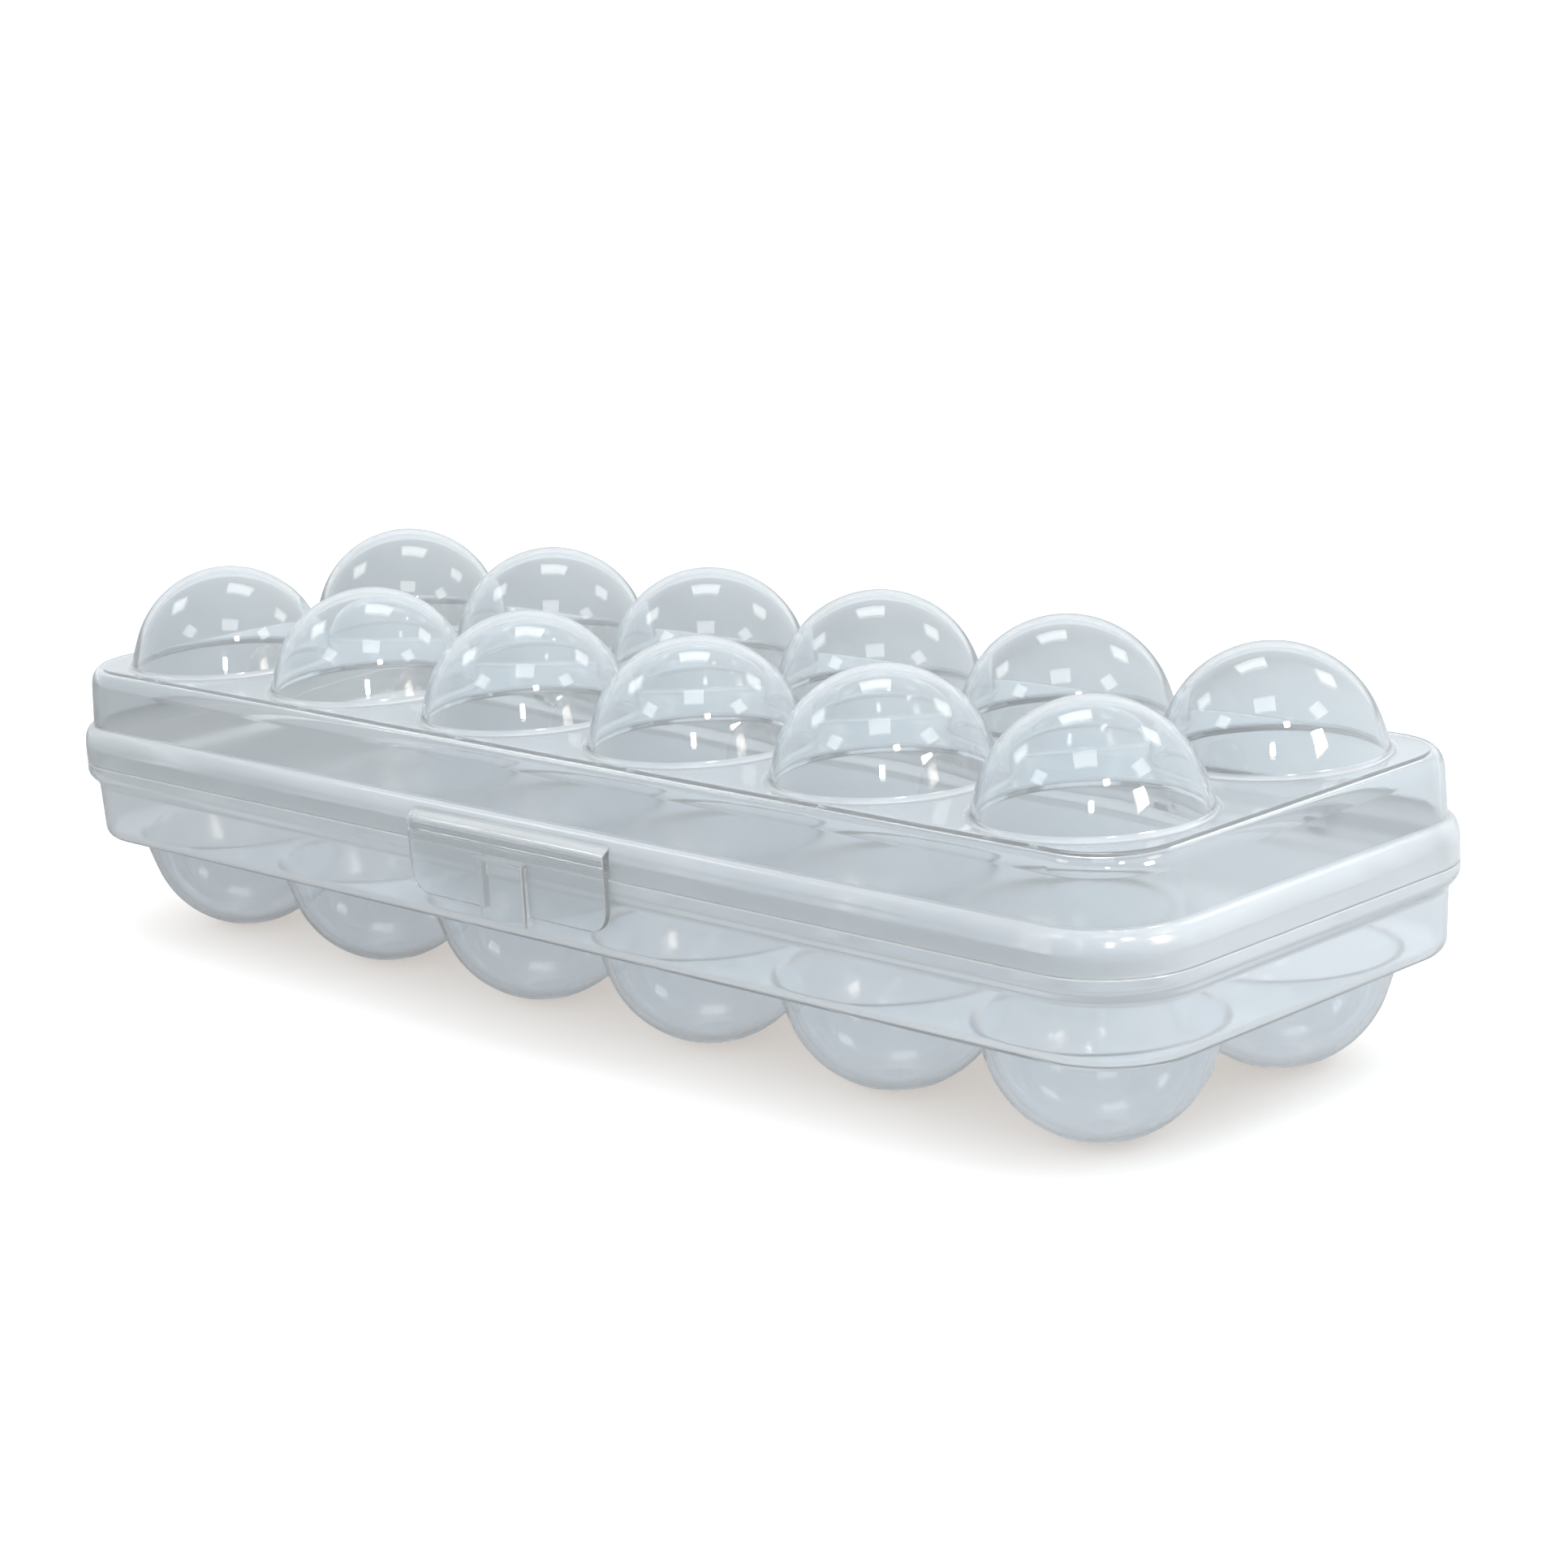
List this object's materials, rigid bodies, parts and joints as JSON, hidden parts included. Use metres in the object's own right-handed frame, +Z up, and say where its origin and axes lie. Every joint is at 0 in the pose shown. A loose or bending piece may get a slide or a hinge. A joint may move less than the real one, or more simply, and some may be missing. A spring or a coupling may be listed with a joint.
{
  "type": "egg holder tray",
  "caption": "Clear plastic egg box: a tray with hanging round cups, a hinged lid with matching domes and a front latch flap.",
  "frame": {"origin": "under the middle of the box, on the surface that the cups stand on", "axes": "+X along the long side, -Y towards the latch, +Z up"},
  "size_m": [0.3112, 0.1178, 0.0808],
  "materials": {
    "tray_plastic": "clear slightly milky polypropylene, glossy moulded surface",
    "lid_plastic": "clear slightly milky polypropylene, glossy moulded surface",
    "flap_plastic": "clear slightly milky polypropylene, thin moulded flap"
  },
  "bodies": {
    "tray": {"tray": "tray_plastic"},
    "lid": {"lid": "lid_plastic"},
    "latch_flap": {"latch_flap": "flap_plastic"}
  },
  "joints": [
    {"name": "lid_hinge", "type": "hinge", "parent": "tray", "child": "lid", "pos_m": [0, 0.0563, 0.0393], "axis": [-1, 0, 0], "range_deg": [0, 170]},
    {"name": "flap_fold", "type": "hinge", "parent": "lid", "child": "latch_flap", "pos_m": [0, -0.0576, 0.0413], "axis": [-1, 0, 0], "range_deg": [0, 120]}
  ]
}
